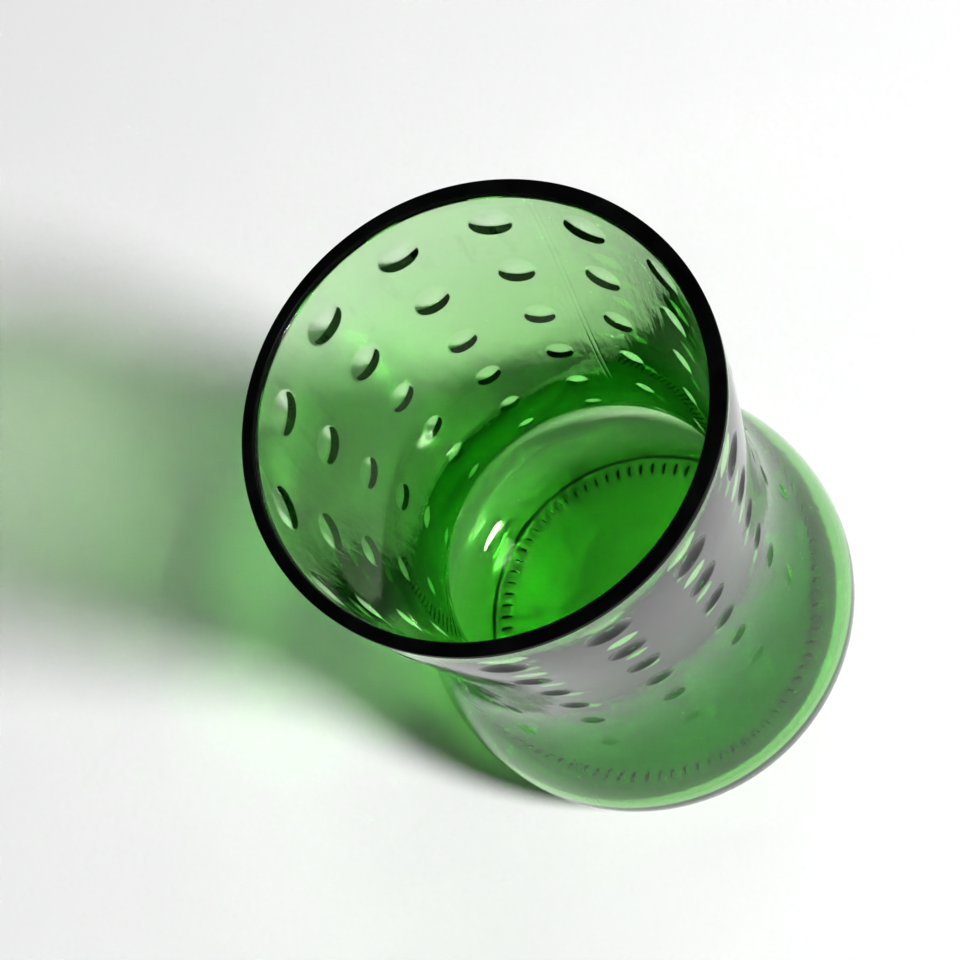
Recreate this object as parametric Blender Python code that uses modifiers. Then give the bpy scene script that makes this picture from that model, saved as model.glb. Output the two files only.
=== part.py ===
"""Glass bud vase with a waist and rows of pressed dimples, and a thin black band on its rim.

The vessel is one piece of green glass.  It stands on a flat ring at z = 0 with its axis on +Z.
The band is a separate ring that is seated on the ground edge of the mouth.
All sizes are in metres.
"""

import math

import bmesh
import bpy
from mathutils import Matrix, Vector

OBJECT_NAME = "glass_bud_vase"

# Overall sizes of the vessel's outer surface.
HEIGHT = 0.1205
RIM_RADIUS = 0.0375
WAIST_RADIUS = 0.0328
WAIST_HEIGHT = 0.0580
SHOULDER_RADIUS = 0.0368
SHOULDER_HEIGHT = 0.0340
BELLY_RADIUS = 0.0412
BELLY_HEIGHT = 0.0130

# Slopes of the outer surface, as radius gained per height gained.
RIM_SLOPE = 0.045
SHOULDER_SLOPE = -0.36

# Glass thickness, measured level: at the rim, where it is thickest, and at the belly.
WALL = 0.0024
THICKEST_WALL = 0.0058
THICKEST_HEIGHT = 0.0440
BELLY_WALL = 0.0034
FLOOR = 0.0060

# Base: a flat bearing ring, a rounded heel outside it and a push-up inside it.
BEARING_INNER_RADIUS = 0.0270
BEARING_WIDTH = 0.0055
PUSH_UP_HEIGHT = 0.0045
INNER_CORNER_RADIUS = 0.0070

# Black band on the rim, and the clearance that it keeps to the glass.
BAND_HEIGHT = 0.0008
BAND_CHAMFER = 0.0002
SEAT_CLEARANCE = 0.0003

# Dimples in the outside of the wall, in columns that run down from the rim.
DIMPLE_COLUMNS = 14
DIMPLE_ROWS = 6
DIMPLE_PHASE_DEG = 53.7
FIRST_ROW_DEPTH = 0.0107
ROW_PITCH = 0.0153
ROW_PITCH_RATIO = 0.93
DIMPLE_TOP_DIAMETER = 0.0075
DIMPLE_SIZE_RATIO = 0.87
DIMPLE_DEPTH_RATIO = 0.12

# Fineness of the turned and domed surfaces.
TURN_STEPS = 48
WALL_STEPS = 5
ARC_STEPS = 4
DIMPLE_SEGMENTS = 8
DIMPLE_RINGS = 4
MERGE_DISTANCE = 0.00001
SMOOTH_ANGLE = math.radians(35.0)


def glass_top():
    """Height of the ground glass edge that the band is seated on."""
    return HEIGHT - BAND_HEIGHT - SEAT_CLEARANCE


def outer_stations():
    """Height, radius and slope of the outer surface where its curve is set, from the base up."""
    return [
        (BELLY_HEIGHT, BELLY_RADIUS, 0.0),
        (SHOULDER_HEIGHT, SHOULDER_RADIUS, SHOULDER_SLOPE),
        (WAIST_HEIGHT, WAIST_RADIUS, 0.0),
        (glass_top(), RIM_RADIUS, RIM_SLOPE),
    ]


def wall_stations():
    """Height, glass thickness and its slope where the wall's thickness is set, from the base up."""
    return [
        (BELLY_HEIGHT, BELLY_WALL, 0.0),
        (THICKEST_HEIGHT, THICKEST_WALL, 0.0),
        (glass_top(), WALL, 0.0),
    ]


def smooth_value(stations, height):
    """Value at a height on smooth cubic curves through stations, held below the lowest one."""
    if height <= stations[0][0]:
        return stations[0][1]
    for low, high in zip(stations, stations[1:]):
        if height <= high[0]:
            span = high[0] - low[0]
            t = (height - low[0]) / span
            rise = 3.0 * t ** 2 - 2.0 * t ** 3
            start = (t ** 3 - 2.0 * t ** 2 + t) * span * low[2]
            end = (t ** 3 - t ** 2) * span * high[2]
            return low[1] + (high[1] - low[1]) * rise + start + end
    return stations[-1][1]


def outer_radius(height):
    """Radius of the outer surface at a height."""
    return smooth_value(outer_stations(), height)


def inner_radius(height):
    """Radius of the inner surface at a height."""
    return outer_radius(height) - smooth_value(wall_stations(), height)


def outer_slope(height):
    """Radius gained per height gained on the outer surface."""
    step = 0.0001
    return (outer_radius(height + step) - outer_radius(height - step)) / (2.0 * step)


def wall_heights():
    """Heights of the turned rings from the rim down to the belly."""
    stations = outer_stations()
    heights = [stations[-1][0]]
    for low, high in reversed(list(zip(stations, stations[1:]))):
        for step in range(1, WALL_STEPS + 1):
            heights.append(high[0] + (low[0] - high[0]) * step / WALL_STEPS)
    return heights


def dome_points(radius, edge_height, rise):
    """Points of a shallow dome from its centre out to its edge, as (radius, height)."""
    points = []
    for step in range(ARC_STEPS):
        share = step / ARC_STEPS
        height = edge_height + rise * 0.5 * (1.0 + math.cos(math.pi * share))
        points.append((radius * share, height))
    return points


def inner_points():
    """Inner outline from the centre of the floor out and up to the rim, as (radius, height)."""
    corner_height = FLOOR + INNER_CORNER_RADIUS
    heights = [height for height in reversed(wall_heights()) if height > corner_height + MERGE_DISTANCE]
    side_radius = BELLY_RADIUS - BELLY_WALL
    centre_radius = side_radius - INNER_CORNER_RADIUS
    points = dome_points(centre_radius, FLOOR, PUSH_UP_HEIGHT)
    for step in range(ARC_STEPS + 1):
        angle = 0.5 * math.pi * step / ARC_STEPS
        radius = centre_radius + INNER_CORNER_RADIUS * math.sin(angle)
        points.append((radius, corner_height - INNER_CORNER_RADIUS * math.cos(angle)))
    points.extend((inner_radius(height), height) for height in heights)
    return points


def outer_points():
    """Outer outline from the rim down, round the heel and in to the push-up's centre."""
    bearing_outer_radius = BEARING_INNER_RADIUS + BEARING_WIDTH
    points = [(outer_radius(height), height) for height in wall_heights()]
    for step in range(1, ARC_STEPS + 1):
        angle = 0.5 * math.pi * step / ARC_STEPS
        radius = bearing_outer_radius + (BELLY_RADIUS - bearing_outer_radius) * math.cos(angle)
        points.append((radius, BELLY_HEIGHT * (1.0 - math.sin(angle))))
    points.append((BEARING_INNER_RADIUS, 0.0))
    points.extend(reversed(dome_points(BEARING_INNER_RADIUS, 0.0, PUSH_UP_HEIGHT)))
    return points


def make_object(name, mesh, collection):
    """Link a mesh into a collection as a named object."""
    thing = bpy.data.objects.new(name, mesh)
    collection.objects.link(thing)
    return thing


def turned_object(name, outline, closed, collection):
    """Turn an outline of (radius, height) points about the Z axis with a Screw modifier."""
    mesh = bpy.data.meshes.new(name)
    shape = bmesh.new()
    corners = [shape.verts.new((radius, 0.0, height)) for radius, height in outline]
    for first, second in zip(corners, corners[1:]):
        shape.edges.new((first, second))
    if closed:
        shape.edges.new((corners[-1], corners[0]))
    shape.to_mesh(mesh)
    shape.free()
    thing = make_object(name, mesh, collection)
    screw = thing.modifiers.new("turn", "SCREW")
    screw.steps = TURN_STEPS
    screw.render_steps = TURN_STEPS
    screw.use_merge_vertices = True
    screw.merge_threshold = MERGE_DISTANCE
    screw.use_smooth_shade = True
    return thing


def dimple_rows():
    """Height above the base and diameter of each row of dimples, from the top row down."""
    rows = []
    depth = FIRST_ROW_DEPTH
    pitch = ROW_PITCH
    diameter = DIMPLE_TOP_DIAMETER
    for _ in range(DIMPLE_ROWS):
        rows.append((HEIGHT - depth, diameter))
        depth += pitch
        pitch *= ROW_PITCH_RATIO
        diameter *= DIMPLE_SIZE_RATIO
    return rows


def dimple_frame(height, azimuth):
    """Matrix that puts a dimple's pole along the outward normal of the wall."""
    outward = Vector((math.cos(azimuth), math.sin(azimuth), 0.0))
    seat = outward * outer_radius(height) + Vector((0.0, 0.0, height))
    normal = (outward - Vector((0.0, 0.0, outer_slope(height)))).normalized()
    return Matrix.Translation(seat) @ normal.to_track_quat("Z", "Y").to_matrix().to_4x4()


def dimple_cutter(collection):
    """Cutter for the dimples: flat ellipsoids whose middles lie on the wall's outer surface."""
    mesh = bpy.data.meshes.new("dimples")
    shape = bmesh.new()
    for height, diameter in dimple_rows():
        size = Matrix.Diagonal((0.5 * diameter, 0.5 * diameter, DIMPLE_DEPTH_RATIO * diameter, 1.0))
        for column in range(DIMPLE_COLUMNS):
            azimuth = math.radians(DIMPLE_PHASE_DEG) + 2.0 * math.pi * column / DIMPLE_COLUMNS
            bmesh.ops.create_uvsphere(
                shape,
                u_segments=DIMPLE_SEGMENTS,
                v_segments=DIMPLE_RINGS,
                radius=1.0,
                matrix=dimple_frame(height, azimuth) @ size,
            )
    shape.to_mesh(mesh)
    shape.free()
    dimples = make_object("dimples", mesh, collection)
    dimples.hide_render = True
    dimples.display_type = "WIRE"
    return dimples


def shade_round(thing):
    """Shade an object smooth but keep its real edges sharp."""
    thing.data.shade_smooth()
    thing.data.set_sharp_from_angle(angle=SMOOTH_ANGLE)


def solid_material(name, colour, roughness, transmission):
    """Plain Principled material."""
    material = bpy.data.materials.new(name)
    material.use_nodes = True
    shader = material.node_tree.nodes["Principled BSDF"]
    shader.inputs["Base Color"].default_value = colour
    shader.inputs["Roughness"].default_value = roughness
    shader.inputs["Metallic"].default_value = 0.0
    shader.inputs["Transmission Weight"].default_value = transmission
    return material


def build_vessel(parts, cutters):
    """Green glass vessel: the turned wall and base with the dimples pressed into the outside."""
    vessel = turned_object("glass_vessel", inner_points() + outer_points(), False, parts)
    press = vessel.modifiers.new("dimples", "BOOLEAN")
    press.operation = "DIFFERENCE"
    press.solver = "EXACT"
    press.object = dimple_cutter(cutters)
    shade_round(vessel)
    vessel.data.materials.append(solid_material("green_glass", (0.05, 0.32, 0.04, 1.0), 0.05, 0.9))
    return vessel


def build_band(parts):
    """Black band: a flat ring with small chamfers, over the ground edge of the wall."""
    outer = RIM_RADIUS
    inner = RIM_RADIUS - WALL
    low = HEIGHT - BAND_HEIGHT
    outline = [
        (inner, low),
        (inner, HEIGHT - BAND_CHAMFER),
        (inner + BAND_CHAMFER, HEIGHT),
        (outer - BAND_CHAMFER, HEIGHT),
        (outer, HEIGHT - BAND_CHAMFER),
        (outer, low),
    ]
    band = turned_object("rim_band", outline, True, parts)
    shade_round(band)
    band.data.materials.append(solid_material("black_band", (0.006, 0.007, 0.007, 1.0), 0.3, 0.0))
    return band


def main():
    """Clear the file and build the vase."""
    for thing in list(bpy.data.objects):
        bpy.data.objects.remove(thing, do_unlink=True)
    parts = bpy.data.collections.new(OBJECT_NAME)
    cutters = bpy.data.collections.new("cutters")
    bpy.context.scene.collection.children.link(parts)
    bpy.context.scene.collection.children.link(cutters)
    build_vessel(parts, cutters)
    build_band(parts)


main()
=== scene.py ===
"""Looks of a glass bud vase: a green waisted vessel with pressed dimples and a black rim band.

All sizes are in metres.  The vase stands on z = 0 with its axis on +Z.
"""

import logging
import math
from dataclasses import dataclass
from enum import Enum

import bpy
import numpy as np
from mathutils import Matrix, Vector


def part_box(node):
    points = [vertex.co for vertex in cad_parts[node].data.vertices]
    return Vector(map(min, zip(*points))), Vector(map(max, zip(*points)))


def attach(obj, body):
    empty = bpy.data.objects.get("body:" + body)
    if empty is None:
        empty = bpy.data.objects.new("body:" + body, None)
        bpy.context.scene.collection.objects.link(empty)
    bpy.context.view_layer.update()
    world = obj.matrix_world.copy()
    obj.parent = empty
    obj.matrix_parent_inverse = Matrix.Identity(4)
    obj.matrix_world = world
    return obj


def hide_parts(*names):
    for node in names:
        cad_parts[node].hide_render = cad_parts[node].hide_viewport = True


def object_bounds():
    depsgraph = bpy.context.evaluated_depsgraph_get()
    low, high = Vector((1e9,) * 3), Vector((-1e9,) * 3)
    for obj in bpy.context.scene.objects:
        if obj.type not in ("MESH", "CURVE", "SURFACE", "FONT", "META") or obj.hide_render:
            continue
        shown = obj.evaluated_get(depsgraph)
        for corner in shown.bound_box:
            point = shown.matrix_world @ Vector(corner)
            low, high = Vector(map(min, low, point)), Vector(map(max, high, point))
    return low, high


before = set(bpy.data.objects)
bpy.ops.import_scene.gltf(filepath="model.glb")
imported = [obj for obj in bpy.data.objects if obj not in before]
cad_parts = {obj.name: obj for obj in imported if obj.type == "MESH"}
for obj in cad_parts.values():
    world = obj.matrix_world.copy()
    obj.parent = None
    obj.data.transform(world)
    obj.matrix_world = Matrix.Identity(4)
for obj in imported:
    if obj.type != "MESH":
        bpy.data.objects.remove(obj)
CAD_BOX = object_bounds()
LOG = logging.getLogger("bud_vase")

TURN = 2.0 * math.pi
QUARTER_TURN = 0.5 * math.pi
SHARP_ANGLE = math.radians(60.0)
NOISE_ROUGHNESS = 0.55

Colour = tuple[float, float, float, float]
Stretch = tuple[float, float, float]
Span = tuple[float, float]
Stations = tuple[tuple[float, float, float], ...]
Socket = bpy.types.NodeSocket
Outline = np.ndarray

UNSTRETCHED: Stretch = (1.0, 1.0, 1.0)


class Side(Enum):
    """The two glass surfaces that a ripple can lie on."""

    INNER = 11
    OUTER = 23


class Lamp(Enum):
    """The studio's lamps, by what each one does."""

    KEY = "key_window"
    FILL = "fill_card"


class NodeBench:
    """Adds and joins the shader nodes of one material."""

    def __init__(self, name: str) -> None:
        """Start a material with an empty node tree.

        Args:
            name: The material's name.
        """
        self.material = bpy.data.materials.new(name)
        self.material.use_nodes = True
        self.tree = self.material.node_tree
        self.tree.nodes.clear()
        self.output = self.add("ShaderNodeOutputMaterial")

    def add(self, kind: str, **inputs: object) -> bpy.types.Node:
        """Add a node and set its plain inputs.

        Args:
            kind: The node's type name.
            **inputs: Input names, with underscores for blanks, and their values.

        Returns:
            The new node.
        """
        node = self.tree.nodes.new(kind)
        for name, value in inputs.items():
            node.inputs[name.replace("_", " ")].default_value = value
        return node

    def join(self, source: Socket, target: Socket) -> None:
        """Link one socket to another.

        Args:
            source: The output socket.
            target: The input socket.
        """
        self.tree.links.new(source, target)

    def place(self) -> Socket:
        """Add the object's own coordinates.

        Returns:
            The coordinates' socket, in metres.
        """
        return self.add("ShaderNodeTexCoord").outputs["Object"]

    def noise(self, scale: float, detail: float, stretch: Stretch = UNSTRETCHED) -> Socket:
        """Add a noise pattern in the object's own coordinates.

        Args:
            scale: Pattern cells per metre.
            detail: How many finer layers are added.
            stretch: Factors on X, Y and Z before the pattern.

        Returns:
            The pattern's value socket.
        """
        mapping = self.add("ShaderNodeMapping", Scale=stretch)
        self.join(self.place(), mapping.inputs["Vector"])
        node = self.add(
            "ShaderNodeTexNoise", Scale=scale, Detail=detail, Roughness=NOISE_ROUGHNESS
        )
        self.join(mapping.outputs["Vector"], node.inputs["Vector"])
        return node.outputs["Fac"]

    def ranged(self, source: Socket, taken: Span, given: Span) -> Socket:
        """Map a value from one range to another, held at its ends.

        Args:
            source: The value socket.
            taken: The lowest and highest input values.
            given: The outputs at those two values.

        Returns:
            The mapped value socket.
        """
        node = self.add(
            "ShaderNodeMapRange",
            From_Min=taken[0],
            From_Max=taken[1],
            To_Min=given[0],
            To_Max=given[1],
        )
        self.join(source, node.inputs["Value"])
        return node.outputs["Result"]

    def blend(self, factor: Socket, first: Colour, second: Colour) -> Socket:
        """Mix two colours by a value.

        Args:
            factor: The value socket, 0 for the first colour.
            first: The first colour.
            second: The second colour.

        Returns:
            The mixed colour socket.
        """
        ramp = self.add("ShaderNodeValToRGB")
        ramp.color_ramp.elements[0].color = first
        ramp.color_ramp.elements[1].color = second
        self.join(factor, ramp.inputs["Fac"])
        return ramp.outputs["Color"]

    def bump(self, height: Socket, depth: float, below: Socket | None = None) -> Socket:
        """Add a bump from a height pattern.

        Args:
            height: The height socket, 0 to 1.
            depth: The height in metres that 1 stands for.
            below: The normal of a bump underneath, if there is one.

        Returns:
            The normal socket.
        """
        node = self.add("ShaderNodeBump", Strength=1.0, Distance=depth)
        self.join(height, node.inputs["Height"])
        if below is not None:
            self.join(below, node.inputs["Normal"])
        return node.outputs["Normal"]


@dataclass(frozen=True)
class BottleGlass:
    """Clear mid-green bottle glass that takes its colour from its depth.

    Its normal has three bumps: a fine peel, lines drawn down the wall and slow waves.
    """

    tint: Colour = (0.98, 0.99, 0.98, 1.0)
    faint_tint: Colour = (0.99, 1.0, 0.99, 1.0)
    ior: float = 1.52
    depth_colour: Colour = (0.20, 0.76, 0.0, 1.0)
    depth_density: float = 215.0
    smear_span: Span = (0.45, 0.75)
    roughness_span: Span = (0.012, 0.05)
    peel_depth: float = 0.000012
    drawn_depth: float = 0.00002
    wave_depth: float = 0.00009

    def material(self) -> bpy.types.Material:
        """Build the glass.

        Returns:
            The material.
        """
        bench = NodeBench("green_glass")
        glass = bench.add("ShaderNodeBsdfPrincipled", Transmission_Weight=1.0, IOR=self.ior)
        smears = bench.noise(scale=42.0, detail=4.0, stretch=(1.0, 1.0, 0.45))
        roughness = bench.ranged(smears, self.smear_span, self.roughness_span)
        bench.join(roughness, glass.inputs["Roughness"])
        streaks = bench.noise(scale=28.0, detail=2.0, stretch=(1.0, 1.0, 0.2))
        bench.join(bench.blend(streaks, self.tint, self.faint_tint), glass.inputs["Base Color"])
        peel = bench.noise(scale=420.0, detail=2.0, stretch=(1.0, 1.0, 0.6))
        waves = bench.noise(scale=95.0, detail=1.0, stretch=(1.0, 1.0, 0.5))
        drawn = bench.noise(scale=620.0, detail=2.0, stretch=(1.0, 1.0, 0.1))
        normal = bench.bump(drawn, self.drawn_depth, bench.bump(peel, self.peel_depth))
        bench.join(bench.bump(waves, self.wave_depth, normal), glass.inputs["Normal"])
        bench.join(glass.outputs["BSDF"], bench.output.inputs["Surface"])
        depth = bench.add(
            "ShaderNodeVolumeAbsorption", Color=self.depth_colour, Density=self.depth_density
        )
        bench.join(depth.outputs["Volume"], bench.output.inputs["Volume"])
        return bench.material


@dataclass(frozen=True)
class BlackBandFinish:
    """Black fired band: satin, with a faint orange peel and softly worn arrises."""

    colour: Colour = (0.0010, 0.0010, 0.0012, 1.0)
    worn_colour: Colour = (0.0030, 0.0034, 0.0036, 1.0)
    specular: float = 0.06
    worn_span: Span = (0.35, 0.75)
    satin_span: Span = (0.3, 0.7)
    roughness_span: Span = (0.26, 0.44)
    grit_depth: float = 0.00002

    def material(self) -> bpy.types.Material:
        """Build the band's finish.

        Returns:
            The material.
        """
        bench = NodeBench("black_band")
        shader = bench.add("ShaderNodeBsdfPrincipled", Specular_IOR_Level=self.specular)
        cloud = bench.noise(scale=180.0, detail=4.0)
        wear = bench.ranged(cloud, self.worn_span, (0.0, 1.0))
        colour = bench.blend(wear, self.colour, self.worn_colour)
        bench.join(colour, shader.inputs["Base Color"])
        roughness = bench.ranged(cloud, self.satin_span, self.roughness_span)
        bench.join(roughness, shader.inputs["Roughness"])
        grit = bench.noise(scale=1600.0, detail=3.0)
        bench.join(bench.bump(grit, self.grit_depth), shader.inputs["Normal"])
        bench.join(shader.outputs["BSDF"], bench.output.inputs["Surface"])
        return bench.material


@dataclass(frozen=True)
class PaleTable:
    """Matt white table top with a faint mottle."""

    light: Colour = (0.86, 0.86, 0.86, 1.0)
    dark: Colour = (0.84, 0.84, 0.845, 1.0)
    roughness: float = 0.62
    specular: float = 0.25
    grain_depth: float = 0.00003

    def material(self) -> bpy.types.Material:
        """Build the table top's finish.

        Returns:
            The material.
        """
        bench = NodeBench("pale_table")
        shader = bench.add(
            "ShaderNodeBsdfPrincipled", Roughness=self.roughness, Specular_IOR_Level=self.specular
        )
        mottle = bench.noise(scale=14.0, detail=5.0)
        bench.join(bench.blend(mottle, self.dark, self.light), shader.inputs["Base Color"])
        grain = bench.noise(scale=700.0, detail=3.0)
        bench.join(bench.bump(grain, self.grain_depth), shader.inputs["Normal"])
        bench.join(shader.outputs["BSDF"], bench.output.inputs["Surface"])
        return bench.material


@dataclass(frozen=True)
class VaseShape:
    """The turned shape that every piece of the vase follows, in metres."""

    height: float
    glass_top: float
    rim_radius: float
    belly_radius: float
    waist_radius: float = 0.0328
    waist_height: float = 0.0580
    shoulder_radius: float = 0.0368
    shoulder_height: float = 0.0340
    belly_height: float = 0.0130
    rim_slope: float = 0.045
    shoulder_slope: float = -0.36
    wall: float = 0.0024
    thickest_wall: float = 0.0058
    thickest_height: float = 0.0440
    belly_wall: float = 0.0034
    floor: float = 0.0060
    bearing_inner_radius: float = 0.0270
    bearing_width: float = 0.0055
    push_up_height: float = 0.0045
    inner_corner_radius: float = 0.0070
    bore_shift: float = 0.00035
    bore_shift_azimuth: float = math.radians(142.0)

    @classmethod
    def from_frame(cls) -> "VaseShape":
        """Read the overall sizes from the CAD nodes.

        Returns:
            The shape at the frame's sizes.
        """
        band_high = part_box("rim_band")[1]
        glass_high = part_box("glass_vessel")[1]
        return cls(band_high.z, glass_high.z, band_high.x, glass_high.x)

    @staticmethod
    def smooth_values(stations: Stations, height: np.ndarray) -> np.ndarray:
        """Values on smooth cubic curves through stations of height, value and slope.

        Args:
            stations: The stations, from the base up.
            height: Heights above the table.

        Returns:
            The values there, held below the lowest station.
        """
        height = np.asarray(height, float)
        value = np.full_like(height, stations[0][1])
        for low, high in zip(stations, stations[1:]):
            span = high[0] - low[0]
            t = (height - low[0]) / span
            rise = 3.0 * t**2 - 2.0 * t**3
            start = (t**3 - 2.0 * t**2 + t) * span * low[2]
            end = (t**3 - t**2) * span * high[2]
            value = np.where(t >= 0.0, low[1] + (high[1] - low[1]) * rise + start + end, value)
        return value

    def outer_radius(self, height: np.ndarray) -> np.ndarray:
        """Radius of the outer surface from the belly up.

        Args:
            height: Heights above the table.

        Returns:
            The radii there.
        """
        stations = (
            (self.belly_height, self.belly_radius, 0.0),
            (self.shoulder_height, self.shoulder_radius, self.shoulder_slope),
            (self.waist_height, self.waist_radius, 0.0),
            (self.glass_top, self.rim_radius, self.rim_slope),
        )
        return self.smooth_values(stations, height)

    def inner_radius(self, height: np.ndarray) -> np.ndarray:
        """Radius of the inner surface from the corner up.

        Args:
            height: Heights above the table.

        Returns:
            The radii there.
        """
        stations = (
            (self.belly_height, self.belly_wall, 0.0),
            (self.thickest_height, self.thickest_wall, 0.0),
            (self.glass_top, self.wall, 0.0),
        )
        return self.outer_radius(height) - self.smooth_values(stations, height)

    def bore_offset(self, azimuth: np.ndarray) -> np.ndarray:
        """How far the inner surface lies outside its mean radius, because the wall isn't even.

        Args:
            azimuth: Azimuths about the axis.

        Returns:
            The offsets there.
        """
        return self.bore_shift * np.cos(azimuth - self.bore_shift_azimuth)


def paired(radius: np.ndarray, height: np.ndarray) -> Outline:
    """Join radii and heights into the points of an outline.

    Args:
        radius: The points' distances from the axis.
        height: The points' heights.

    Returns:
        One (radius, height) row for each point.
    """
    return np.stack((radius, height), 1)


@dataclass
class RingMesh:
    """Turns an outline into a mesh whose rings may each be pushed out of round."""

    name: str
    outline: Outline
    azimuths: np.ndarray
    closed: bool

    def normals(self) -> Outline:
        """Outward unit normals of the outline.

        Returns:
            One (radial, height) row for each point.
        """
        if self.closed:
            along = np.roll(self.outline, -1, 0) - np.roll(self.outline, 1, 0)
        else:
            along = np.gradient(self.outline, axis=0)
        across = paired(-along[:, 1], along[:, 0])
        return across / np.linalg.norm(across, axis=1)[:, None]

    def build(self, push: np.ndarray, shift: np.ndarray) -> bpy.types.Object:
        """Make the mesh object.

        Args:
            push: Move along the outline's normal, by outline point and ring step.
            shift: Move out from the axis, by outline point and ring step.

        Returns:
            The object, linked to the scene.
        """
        normals = self.normals()
        radius = self.outline[:, :1] + push * normals[:, :1] + shift
        height = self.outline[:, 1:] + push * normals[:, 1:]
        right, back = radius * np.cos(self.azimuths), radius * np.sin(self.azimuths)
        spots = np.stack((right, back, height), 2)
        count, steps = radius.shape
        last = count if self.closed else count - 1
        row = np.arange(last)[:, None]
        step = np.arange(steps)[None, :]
        here, along = row * steps, ((row + 1) % count) * steps
        beside = (step + 1) % steps
        faces = np.stack((here + step, along + step, along + beside, here + beside), 2)
        corners = spots.reshape(-1, 3)
        loops = faces.reshape(-1, 4).tolist()
        if not self.closed:
            corners, loops = self.with_poles(corners, loops, count, steps)
        mesh = bpy.data.meshes.new(self.name)
        mesh.from_pydata(corners.tolist(), [], loops)
        mesh.validate()
        mesh.shade_smooth()
        mesh.set_sharp_from_angle(angle=SHARP_ANGLE)
        piece = bpy.data.objects.new(self.name, mesh)
        bpy.context.scene.collection.objects.link(piece)
        return piece

    @staticmethod
    def with_poles(
        corners: np.ndarray, loops: list[list[int]], count: int, steps: int
    ) -> tuple[np.ndarray, list[list[int]]]:
        """Close an open outline's first and last rings with a point on the axis.

        Args:
            corners: The mesh's points.
            loops: The mesh's faces.
            count: Number of rings.
            steps: Points on each ring.

        Returns:
            The points and the faces with both poles added.
        """
        first, final = corners[:steps], corners[(count - 1) * steps :]
        poles = np.array([(0.0, 0.0, first[:, 2].mean()), (0.0, 0.0, final[:, 2].mean())])
        start, end = len(corners), len(corners) + 1
        base = (count - 1) * steps
        for step in range(steps):
            after = (step + 1) % steps
            loops.append([start, step, after])
            loops.append([end, base + after, base + step])
        return np.concatenate((corners, poles)), loops


@dataclass(frozen=True)
class Fineness:
    """How many points the vessel's mesh has along each of its stretches."""

    across_dimple: int = 32
    between_dimples: int = 11
    across_seam: int = 25
    down_dimple: int = 26
    between_rows: int = 8
    below_dimples: int = 30
    heel: int = 26
    bearing: int = 16
    push_up: int = 36
    floor: int = 24
    corner: int = 22
    bore: int = 120


@dataclass(frozen=True)
class Ripple:
    """Slow unevenness that blown glass has, as waves round and along the wall."""

    side: Side
    depth: float
    most_turns: int = 7
    lengths: Span = (0.03, 0.11)
    axis_fade: float = 0.01
    table_fade: float = 0.006
    rim_fade: float = 0.003

    def push(self, outline: Outline, azimuths: np.ndarray, top: float) -> np.ndarray:
        """Depth of the waves, which die away at the axis, at the table and at the rim.

        Args:
            outline: The outline.
            azimuths: The ring steps.
            top: Height of the rim.

        Returns:
            The push at each outline point and ring step.
        """
        rng = np.random.default_rng(self.side.value)
        total = np.zeros((len(outline), azimuths.shape[-1]))
        for turns in range(1, self.most_turns + 1):
            length = rng.uniform(*self.lengths)
            start = rng.uniform(0.0, TURN)
            total += np.cos(turns * azimuths + TURN * outline[:, 1:] / length + start) / turns
        from_axis = np.clip(outline[:, 0] / self.axis_fade, 0.0, 1.0)
        from_table = np.clip(outline[:, 1] / self.table_fade, 0.0, 1.0)
        from_rim = np.clip((top - outline[:, 1]) / self.rim_fade, 0.0, 1.0)
        fade = from_axis * from_table * from_rim
        return 0.5 * self.depth * (total - total.max()) * fade[:, None]


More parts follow.
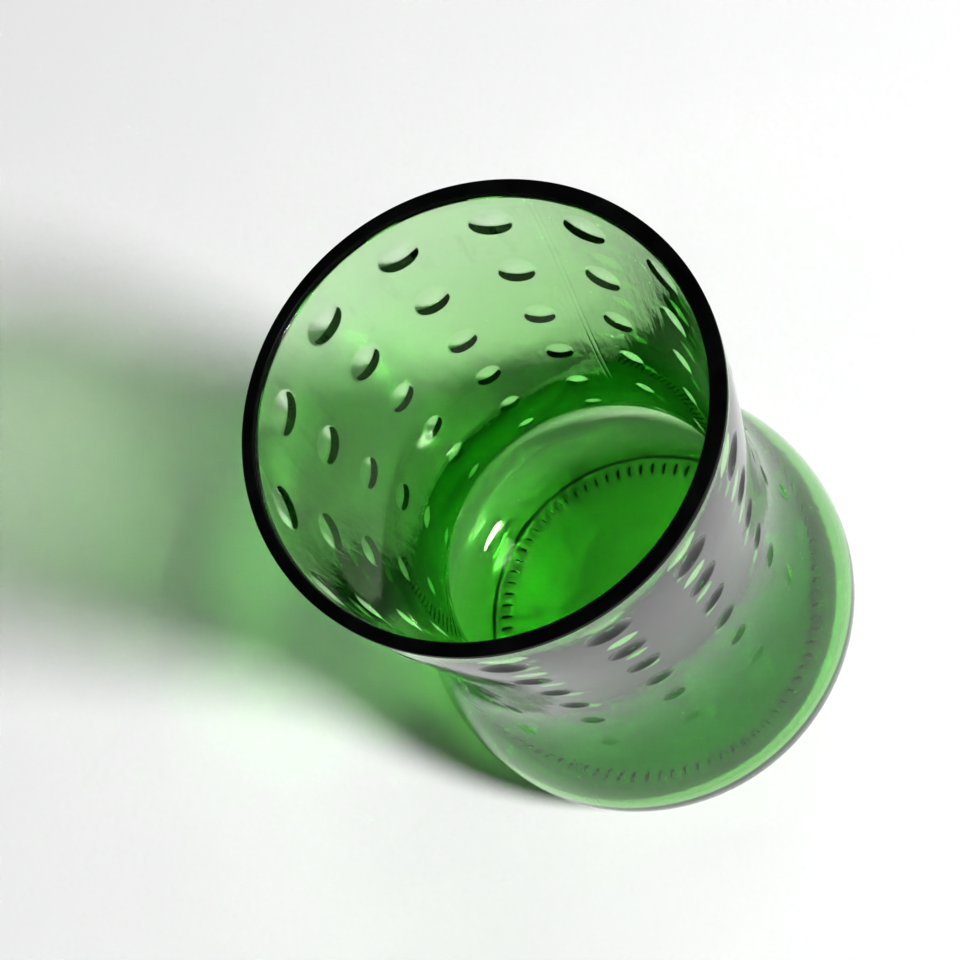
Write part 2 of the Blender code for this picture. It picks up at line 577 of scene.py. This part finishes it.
@dataclass
class GlassVessel:
    """The vessel: turned glass with dimples, mould seams and a knurled bearing ring.

    The reaches, the stretches with close ring steps, are shares of a dimple's diameter.  The
    knurl's middle and half width are shares of the bearing ring's width.
    """

    shape: VaseShape
    fineness: Fineness = Fineness()
    inner_ripple: Ripple = Ripple(Side.INNER, 0.00012)
    outer_ripple: Ripple = Ripple(Side.OUTER, 0.00004)
    columns: int = 14
    rows: int = 6
    phase: float = math.radians(53.7)
    first_row_depth: float = 0.0107
    row_pitch: float = 0.0153
    row_pitch_ratio: float = 0.93
    top_diameter: float = 0.0075
    diameter_ratio: float = 0.87
    depth_ratio: float = 0.12
    reach_round: float = 0.56
    reach_down: float = 0.54
    seam_height: float = 0.000018
    seam_half_width: float = 0.00018
    seam_pair_gap: float = 0.0010
    seam_foot: float = 0.002
    seam_fade: float = 0.004
    knurl_depth: float = 0.00080
    knurl_steps: int = 8
    knurl_middle: float = 0.38
    knurl_half_width: float = 0.42
    knurl_roundness: float = 1.5
    knurl_mean: float = 0.55
    knurl_swing: float = 0.45
    inner_arris: float = 0.00015

    def dimple_rows(self) -> list[tuple[float, float]]:
        """Height and diameter of each row of dimples, from the top down.

        Returns:
            One (height, diameter) pair for each row.
        """
        found = []
        depth, pitch, diameter = self.first_row_depth, self.row_pitch, self.top_diameter
        for _ in range(self.rows):
            found.append((self.shape.height - depth, diameter))
            depth += pitch
            pitch *= self.row_pitch_ratio
            diameter *= self.diameter_ratio
        return found

    def seam_azimuths(self) -> tuple[float, float]:
        """Azimuths of the two mould seams, each midway between two columns.

        Returns:
            The two azimuths.
        """
        first = self.phase - math.pi / self.columns
        return first, first + math.pi

    def azimuths(self) -> np.ndarray:
        """Ring steps: close together across the dimples and the seams, wider between them.

        Returns:
            Azimuths in rising order, from 0 to a full turn.
        """
        fine = self.fineness
        pitch = TURN / self.columns
        reach = self.reach_round * self.top_diameter / self.shape.rim_radius
        steps = []
        for column in range(self.columns):
            middle = self.phase + column * pitch
            after = middle + pitch
            steps.extend(np.linspace(middle - reach, middle + reach, fine.across_dimple))
            steps.extend(np.linspace(middle + reach, after - reach, fine.between_dimples)[1:-1])
        across_seam = np.linspace(-1.0, 1.0, fine.across_seam)
        for seam in self.seam_azimuths():
            steps.extend(seam + across_seam * self.seam_pair_gap / self.shape.waist_radius)
        return np.sort(np.array(steps) % TURN)

    def wall_heights(self) -> np.ndarray:
        """Heights of the outer rings, close together across each row of dimples.

        Returns:
            The heights, from the rim down to the belly.
        """
        fine = self.fineness
        spots = [self.shape.glass_top]
        upper = self.shape.glass_top
        for height, diameter in self.dimple_rows():
            reach = self.reach_down * diameter
            spots.extend(np.linspace(upper, height + reach, fine.between_rows)[1:-1])
            spots.extend(np.linspace(height + reach, height - reach, fine.down_dimple))
            upper = height - reach
        spots.extend(np.linspace(upper, self.shape.belly_height, fine.below_dimples)[1:])
        return np.array(spots)

    def outer_outline(self) -> Outline:
        """Outer outline from the rim down to the middle of the push-up.

        Returns:
            The outline.
        """
        shape, fine = self.shape, self.fineness
        heights = self.wall_heights()
        wall = paired(shape.outer_radius(heights), heights)
        bearing_outer = shape.bearing_inner_radius + shape.bearing_width
        turn = np.linspace(0.0, QUARTER_TURN, fine.heel)[1:]
        heel = paired(
            bearing_outer + (shape.belly_radius - bearing_outer) * np.cos(turn),
            shape.belly_height * (1.0 - np.sin(turn)),
        )
        bearing_radius = np.linspace(bearing_outer, shape.bearing_inner_radius, fine.bearing)[1:]
        bearing = paired(bearing_radius, np.zeros_like(bearing_radius))
        share = np.linspace(1.0, 0.0, fine.push_up)[1:-1]
        dome = paired(
            shape.bearing_inner_radius * share,
            shape.push_up_height * 0.5 * (1.0 + np.cos(math.pi * share)),
        )
        return np.concatenate((wall, heel, bearing, dome))

    def inner_outline(self) -> Outline:
        """Inner outline from the middle of the floor up to the ground arris.

        Returns:
            The outline.
        """
        shape, fine = self.shape, self.fineness
        side_radius = shape.belly_radius - shape.belly_wall
        centre_radius = side_radius - shape.inner_corner_radius
        corner_height = shape.floor + shape.inner_corner_radius
        share = np.linspace(0.0, 1.0, fine.floor)[1:-1]
        dome = paired(
            centre_radius * share,
            shape.floor + shape.push_up_height * 0.5 * (1.0 + np.cos(math.pi * share)),
        )
        turn = np.linspace(0.0, QUARTER_TURN, fine.corner)
        corner = paired(
            centre_radius + shape.inner_corner_radius * np.sin(turn),
            corner_height - shape.inner_corner_radius * np.cos(turn),
        )
        low = max(corner_height, shape.belly_height)
        heights = np.linspace(low, shape.glass_top - self.inner_arris, fine.bore)[1:]
        wall = paired(shape.inner_radius(heights), heights)
        arris = np.array([(shape.rim_radius - shape.wall + self.inner_arris, shape.glass_top)])
        return np.concatenate((dome, corner, wall, arris))

    def dimple_push(self, outline: Outline, azimuths: np.ndarray) -> np.ndarray:
        """Depth of the dimples below the outer surface.

        Args:
            outline: The outer outline.
            azimuths: The ring steps.

        Returns:
            The push at each outline point and ring step.
        """
        push = np.zeros((len(outline), azimuths.shape[-1]))
        lengths = np.linalg.norm(np.diff(outline, axis=0), axis=1)
        along = np.concatenate(([0.0], np.cumsum(lengths)))
        on_wall = outline[:, 1] >= self.shape.belly_height
        pitch = TURN / self.columns
        across = (azimuths - self.phase + 0.5 * pitch) % pitch - 0.5 * pitch
        for height, diameter in self.dimple_rows():
            seat = float(np.interp(-height, -outline[on_wall, 1], along[on_wall]))
            level = (along - seat)[:, None] / (0.5 * diameter)
            side = across * outline[:, :1] / (0.5 * diameter)
            push -= self.depth_ratio * diameter * np.clip(1.0 - level**2 - side**2, 0.0, None)
        return push

    def seam_push(self, outline: Outline, azimuths: np.ndarray) -> np.ndarray:
        """Height of the two mould seams above the outer surface.

        Args:
            outline: The outer outline.
            azimuths: The ring steps.

        Returns:
            The push at each outline point and ring step.
        """
        push = np.zeros((len(outline), azimuths.shape[-1]))
        for seam in self.seam_azimuths():
            gap = ((azimuths - seam + math.pi) % TURN - math.pi) * outline[:, :1]
            for line in (-0.5 * self.seam_pair_gap, 0.5 * self.seam_pair_gap):
                push += self.seam_height * np.exp(-(((gap - line) / self.seam_half_width) ** 2))
        fade = np.clip((outline[:, 1] - self.seam_foot) / self.seam_fade, 0.0, 1.0)
        return push * fade[:, None]

    def knurl_push(self, outline: Outline, steps: int) -> np.ndarray:
        """Depth of the short grooves that cross the bearing ring, pressed up into the glass.

        Args:
            outline: The outer outline.
            steps: Number of ring steps.

        Returns:
            The push at each outline point and ring step.
        """
        width = self.shape.bearing_width
        middle = self.shape.bearing_inner_radius + self.knurl_middle * width
        low = outline[:, 1] < 0.5 * self.shape.belly_height
        from_middle = (outline[:, 0] - middle) / (self.knurl_half_width * width)
        across = np.clip(1.0 - from_middle**2, 0.0, 1.0) ** self.knurl_roundness
        swing = self.knurl_swing * np.cos(TURN * np.arange(steps) / self.knurl_steps)
        wave = self.knurl_mean - swing
        return -self.knurl_depth * (across * low)[:, None] * wave[None, :]

    def build(self) -> bpy.types.Object:
        """Build the vessel's mesh.

        The ring steps are even round the base, for the knurl, and close at the dimples above.

        Returns:
            The vessel.
        """
        close = self.azimuths()
        close = close[: len(close) - len(close) % self.knurl_steps]
        even = close[0] + TURN * np.arange(len(close)) / len(close)
        inner, outer = self.inner_outline(), self.outer_outline()
        outline = np.concatenate((inner, outer))
        heel = 0.5 * self.shape.belly_height
        share = np.clip((outline[:, 1:] - heel) / (self.shape.belly_height - heel), 0.0, 1.0)
        azimuths = even[None, :] * (1.0 - share) + close[None, :] * share
        split = len(inner)
        push = np.zeros(azimuths.shape)
        push[:split] = self.inner_ripple.push(inner, azimuths[:split], self.shape.glass_top)
        push[split:] = (
            self.dimple_push(outer, azimuths[split:])
            + self.seam_push(outer, azimuths[split:])
            + self.knurl_push(outer, len(close))
            + self.outer_ripple.push(outer, azimuths[split:], self.shape.glass_top)
        )
        shift = np.zeros(azimuths.shape)
        from_axis = np.clip(inner[:, :1] / self.shape.waist_radius, 0.0, 1.0)
        shift[:split] = self.shape.bore_offset(azimuths[:split]) * from_axis
        return RingMesh("vessel_glass", outline, azimuths, closed=False).build(push, shift)

    def dress(self, vessel: bpy.types.Object) -> None:
        """Give the vessel its glass and put it on the frame.

        Args:
            vessel: The vessel's object.
        """
        vessel.data.materials.append(BottleGlass().material())
        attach(vessel, "root")
        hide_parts("glass_vessel")


@dataclass
class RimBand:
    """The black band over the ground edge, with rounded arrises."""

    shape: VaseShape
    arris: float = 0.00022
    inner_setback: float = 0.00015
    seat: float = 0.00002
    steps: int = 420
    round_steps: int = 7
    unround_lobes: float = 5.0
    unround_depth: float = 0.00002

    def outline(self) -> Outline:
        """Closed outline of the band's section, from the inner bottom corner round.

        Returns:
            The outline.
        """
        outer = self.shape.rim_radius
        inner = outer - self.shape.wall + self.inner_setback
        low = self.shape.glass_top + self.seat
        high = self.shape.height
        turn = np.linspace(0.0, QUARTER_TURN, self.round_steps)
        shallow = self.arris * (1.0 - np.cos(turn))
        steep = self.arris * (1.0 - np.sin(turn))
        inner_round = paired(inner + shallow, high - steep)
        outer_round = paired(outer - steep, high - shallow)
        return np.concatenate((((inner, low),), inner_round, outer_round, ((outer, low),)))

    def build(self) -> bpy.types.Object:
        """Build the band's mesh.

        Returns:
            The band.
        """
        outline = self.outline()
        turn = np.linspace(0.0, TURN, self.steps, endpoint=False)
        azimuths = turn[None, :].repeat(len(outline), 0)
        middle = self.shape.rim_radius - 0.5 * self.shape.wall
        inner_half = (outline[:, :1] < middle).astype(float)
        shift = self.shape.bore_offset(azimuths) * inner_half
        unround = self.unround_depth * np.cos(self.unround_lobes * azimuths) * inner_half
        ring = RingMesh("band_black", outline, azimuths, closed=True)
        return ring.build(np.zeros(azimuths.shape), shift + unround)

    def dress(self, band: bpy.types.Object) -> None:
        """Give the band its black finish and put it on the frame.

        Args:
            band: The band's object.
        """
        band.data.materials.append(BlackBandFinish().material())
        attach(band, "root")
        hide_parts("rim_band")


@dataclass
class Studio:
    """Pale table, soft light and the camera, which looks down into the mouth from the front."""

    shape: VaseShape
    lens: float = 82.5
    sensor_width: float = 36.0
    nearest: float = 0.01
    stand_off: float = 0.14423
    above_rim: float = 0.29201
    pan: float = math.radians(-2.68)
    tilt: float = math.radians(65.13)
    roll: float = math.radians(-43.32)
    table_half_width: float = 4.0
    world_light: float = 0.045
    gamma: float = 0.87
    key_azimuth: float = math.radians(-56.5)
    key_elevation: float = math.radians(37.0)
    key_distance: float = 2.4
    key_size: float = 0.50
    key_power: float = 96.0
    fill_towards: tuple[float, float, float] = (0.8, 0.35, 0.9)
    fill_distance: float = 1.6
    fill_size: float = 1.2
    fill_power: float = 4.0
    indirect_clamp: float = 130.0
    glass_bounces: int = 24
    glossy_bounces: int = 12

    def lay_table(self) -> None:
        """Lay the table top that the vase stands on."""
        mesh = bpy.data.meshes.new("table_top")
        half = self.table_half_width
        corners = ((-half, -half, 0.0), (half, -half, 0.0), (half, half, 0.0), (-half, half, 0.0))
        mesh.from_pydata(corners, (), ((0, 1, 2, 3),))
        table = bpy.data.objects.new("table_top", mesh)
        bpy.context.scene.collection.objects.link(table)
        table.location.z = CAD_BOX[0].z
        mesh.materials.append(PaleTable().material())

    def hang_lamp(
        self, lamp: Lamp, towards: Vector, distance: float, size: float, power: float
    ) -> None:
        """Hang one soft lamp that points at the middle of the vase.

        Args:
            lamp: Which lamp it is.
            towards: Direction from the vase to the lamp.
            distance: Its distance.
            size: Its diameter.
            power: Its power in watts.
        """
        data = bpy.data.lights.new(lamp.value, "AREA")
        data.shape = "DISK"
        data.size = size
        data.energy = power
        thing = bpy.data.objects.new(lamp.value, data)
        bpy.context.scene.collection.objects.link(thing)
        middle = Vector((0.0, 0.0, 0.5 * self.shape.height))
        thing.location = middle + towards.normalized() * distance
        thing.rotation_euler = (middle - thing.location).to_track_quat("-Z", "Y").to_euler()

    def light(self) -> None:
        """Light the vase with a key lamp in front and to the right, a weak fill and a dim sky."""
        flat = math.cos(self.key_elevation)
        key = Vector(
            (
                math.cos(self.key_azimuth) * flat,
                math.sin(self.key_azimuth) * flat,
                math.sin(self.key_elevation),
            )
        )
        fill = Vector(self.fill_towards)
        self.hang_lamp(Lamp.KEY, key, self.key_distance, self.key_size, self.key_power)
        self.hang_lamp(Lamp.FILL, fill, self.fill_distance, self.fill_size, self.fill_power)
        world = bpy.data.worlds.new("studio_air")
        world.use_nodes = True
        sky = world.node_tree.nodes["Background"]
        sky.inputs["Color"].default_value = (1.0, 1.0, 1.0, 1.0)
        sky.inputs["Strength"].default_value = self.world_light
        bpy.context.scene.world = world

    def set_camera(self) -> None:
        """Place the camera above and in front of the vase."""
        data = bpy.data.cameras.new("camera")
        data.lens = self.lens
        data.sensor_width = self.sensor_width
        data.clip_start = self.nearest
        camera = bpy.data.objects.new("camera", data)
        bpy.context.scene.collection.objects.link(camera)
        ahead = Vector(
            (
                math.sin(self.pan) * math.cos(self.tilt),
                math.cos(self.pan) * math.cos(self.tilt),
                -math.sin(self.tilt),
            )
        )
        level = Vector((math.cos(self.pan), -math.sin(self.pan), 0.0))
        upright = level.cross(ahead)
        right = math.cos(self.roll) * level + math.sin(self.roll) * upright
        upward = -math.sin(self.roll) * level + math.cos(self.roll) * upright
        turn = Matrix((right, upward, -ahead)).transposed().to_4x4()
        spot = Vector((0.0, -self.stand_off, self.shape.height + self.above_rim))
        camera.matrix_world = Matrix.Translation(spot) @ turn
        bpy.context.scene.camera = camera

    def build(self) -> None:
        """Set up the whole studio."""
        self.lay_table()
        self.light()
        self.set_camera()
        scene = bpy.context.scene
        scene.view_settings.view_transform = "Standard"
        scene.view_settings.gamma = self.gamma
        scene.cycles.sample_clamp_indirect = self.indirect_clamp
        scene.cycles.blur_glossy = 0.0
        scene.cycles.max_bounces = self.glass_bounces
        scene.cycles.transmission_bounces = self.glass_bounces
        scene.cycles.glossy_bounces = self.glossy_bounces


def main() -> None:
    """Build and dress every piece, then the studio."""
    logging.basicConfig(level=logging.INFO, format="%(name)s: %(message)s")
    shape = VaseShape.from_frame()
    for maker in (GlassVessel(shape), RimBand(shape)):
        piece = maker.build()
        maker.dress(piece)
        LOG.info("%s: %d faces", piece.name, len(piece.data.polygons))
    Studio(shape).build()
    LOG.info("studio ready")


if __name__ == "__main__":
    main()
